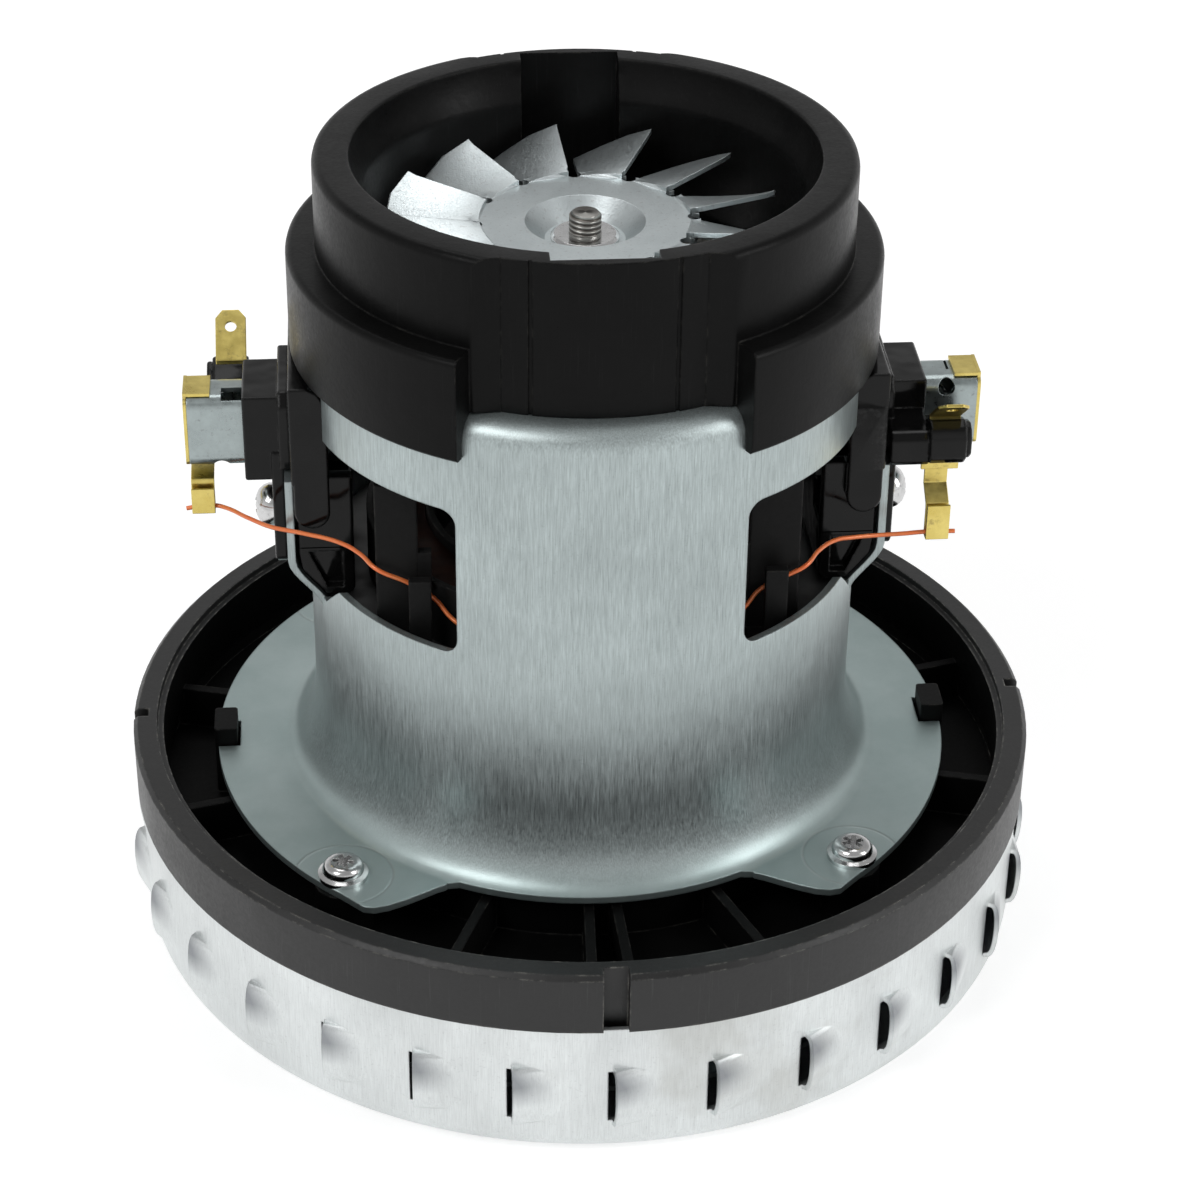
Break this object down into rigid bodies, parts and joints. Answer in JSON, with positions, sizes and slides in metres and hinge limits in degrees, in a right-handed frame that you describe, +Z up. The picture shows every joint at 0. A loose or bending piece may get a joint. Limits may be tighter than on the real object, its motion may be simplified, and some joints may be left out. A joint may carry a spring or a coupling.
{
  "type": "vacuum motor unit",
  "caption": "Upright vacuum cleaner motor unit: louvred fan shell, black base ring, windowed steel frame, side brush holders and a cooling fan in a collar",
  "frame": {"origin": "middle of the fan shell's flat bottom, on the shaft's axis", "axes": "+Z up along the shaft, from the fan shell to the cooling collar; +X through the brush holder on the picture's right; -Y is the side that the picture shows"},
  "size_m": [0.148, 0.1488, 0.1322],
  "materials": {
    "shell_steel": "galvanised sheet, fine vertical grain",
    "frame_steel": "drawn galvanised sheet, vertical grain",
    "black_plastic": "near-black moulded resin, satin",
    "grey_plastic": "dark grey moulded resin",
    "zinc": "bright zinc plate",
    "brass": "bare brass strip",
    "copper": "enamelled copper",
    "core_steel": "varnished electrical steel",
    "aluminium": "bright sheet",
    "carbon": "pressed carbon"
  },
  "bodies": {
    "housing": {"fan_shell": "shell_steel", "base_ring": "black_plastic", "stator_frame": "frame_steel", "cooling_collar": "black_plastic", "flange_screws": "zinc", "brush_holder_left": "black_plastic", "brush_holder_right": "black_plastic", "brush_tube_left": "zinc", "brush_tube_right": "zinc", "brush_cap_left": "brass", "brush_cap_right": "brass", "terminal_left": "brass", "terminal_right": "brass", "holder_screws": "zinc", "brush_spring_left": "zinc", "brush_spring_right": "zinc", "field_core": "core_steel", "field_bobbin_left": "grey_plastic", "field_bobbin_right": "grey_plastic", "field_coil_left": "copper", "field_coil_right": "copper", "field_lead_left": "copper", "field_lead_right": "copper", "lower_bearing_outer": "zinc", "upper_bearing_outer": "zinc", "lower_bearing_balls": "zinc", "upper_bearing_balls": "zinc"},
    "rotor": {"lower_bearing_inner": "zinc", "upper_bearing_inner": "zinc", "rotor_shaft": "zinc", "armature_core": "core_steel", "armature_winding": "copper", "commutator": "copper", "cooling_fan": "aluminium", "fan_bush": "zinc", "fan_washer": "zinc", "impeller_back_plate": "aluminium", "impeller_vane_set": "aluminium", "impeller_front_plate": "aluminium", "impeller_spacer": "zinc", "impeller_nut": "zinc"},
    "brush_left": {"carbon_brush_left": "carbon"},
    "brush_right": {"carbon_brush_right": "carbon"}
  },
  "joints": [
    {"name": "rotor_spin", "type": "hinge", "parent": "housing", "child": "rotor", "pos_m": [0, 0, 0.06], "axis": [0, 0, 1], "continuous": true},
    {"name": "brush_left_slide", "type": "slide", "parent": "housing", "child": "brush_left", "axis": [-1, 0, 0], "range_m": [0, 0.004], "stiffness_N_per_m": 150, "springref_m": -0.02, "deforming": ["brush_spring_left"]},
    {"name": "brush_right_slide", "type": "slide", "parent": "housing", "child": "brush_right", "axis": [1, 0, 0], "range_m": [0, 0.004], "stiffness_N_per_m": 150, "springref_m": -0.02, "deforming": ["brush_spring_right"]}
  ]
}
